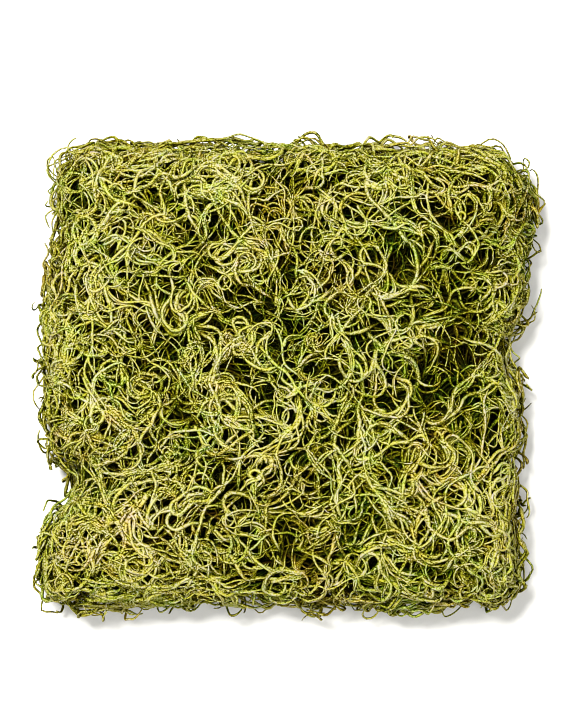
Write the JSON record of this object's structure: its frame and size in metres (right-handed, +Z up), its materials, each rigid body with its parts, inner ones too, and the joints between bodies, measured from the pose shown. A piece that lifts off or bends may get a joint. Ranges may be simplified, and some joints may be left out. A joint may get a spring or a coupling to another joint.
{
  "type": "spanish moss bunch",
  "caption": "Bunch of curly preserved moss lying flat: tangled thread-like strands pressed into a soft rectangular pillow.",
  "frame": {"origin": "the point on the resting surface under the middle of the bunch", "axes": "+Z up from the surface through the bunch's thickness, +X across the bunch's width, +Y along its length, towards the larger hank"},
  "size_m": [0.2177, 0.2103, 0.0549],
  "materials": {
    "moss": "matte dyed plant fibre, yellow-green"
  },
  "bodies": {
    "root": {"upper_hank": "moss", "lower_hank": "moss"}
  },
  "joints": []
}
